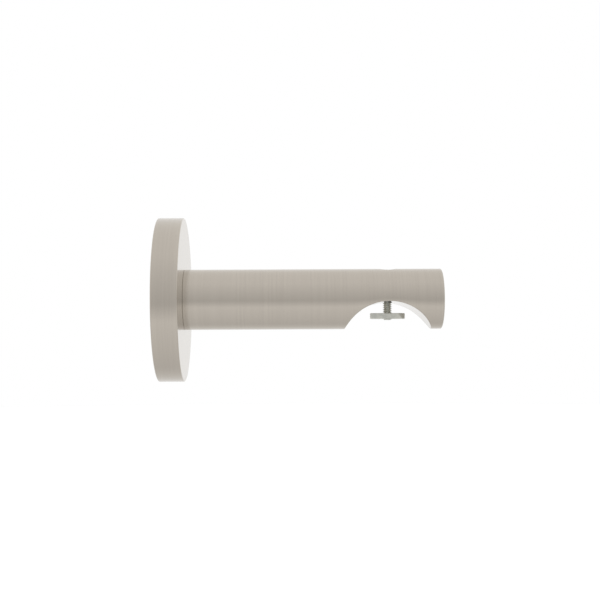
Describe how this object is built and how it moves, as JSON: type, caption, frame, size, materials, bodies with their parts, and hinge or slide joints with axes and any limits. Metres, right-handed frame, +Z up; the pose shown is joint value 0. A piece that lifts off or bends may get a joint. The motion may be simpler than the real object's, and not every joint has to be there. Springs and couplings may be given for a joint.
{
  "type": "curtain pole wall bracket",
  "caption": "Round wall flange with a solid round arm whose cut-out seat and T-nut clamp hold a curtain pole.",
  "frame": {"origin": "centre of the wall plate's back face, on the wall plane", "axes": "+X out from the wall along the arm, +Z up, and the pole lies along Y"},
  "size_m": [0.0888, 0.0516, 0.0516],
  "materials": {
    "satin_nickel": "satin brushed nickel plate, brushed round the piece",
    "zinc_plate": "bright zinc plated steel",
    "cast_zinc": "plain die-cast zinc, as cast",
    "black_steel": "black oxide steel"
  },
  "bodies": {
    "wall_mount": {"wall_plate": "cast_zinc"},
    "flange": {"wall_flange": "satin_nickel"},
    "grub": {"flange_grub_screw": "black_steel"},
    "arm": {"arm": "satin_nickel", "arm_bolt": "zinc_plate"},
    "washer": {"spring_washer": "zinc_plate"},
    "screw": {"clamp_screw": "zinc_plate"},
    "nut": {"t_nut": "zinc_plate"}
  },
  "joints": [
    {"name": "flange_pull_off", "type": "slide", "parent": "wall_mount", "child": "flange", "axis": [1, 0, 0], "range_m": [0, 0.02]},
    {"name": "grub_screw_drive", "type": "slide", "parent": "flange", "child": "grub", "axis": [0, 0, 1], "range_m": [0, 0.0009]},
    {"name": "arm_swivel", "type": "hinge", "parent": "flange", "child": "arm", "pos_m": [0.0085, 0, 0], "axis": [1, 0, 0], "continuous": true},
    {"name": "t_nut_quarter_turn", "type": "hinge", "parent": "arm", "child": "washer", "pos_m": [0.0718, 0, 0], "axis": [0, 0, 1], "range_deg": [0, 90]},
    {"name": "clamp_screw_turn", "type": "hinge", "parent": "washer", "child": "screw", "pos_m": [0.0718, 0, 0], "axis": [0, 0, -1], "range_deg": [0, 1135]},
    {"name": "t_nut_climb", "type": "slide", "parent": "washer", "child": "nut", "axis": [0, 0, 1], "range_m": [0, 0.002]}
  ],
  "couplings": [
    {"joint": "clamp_screw_turn", "follows": "t_nut_climb", "rad_per_m": 9894.8}
  ]
}
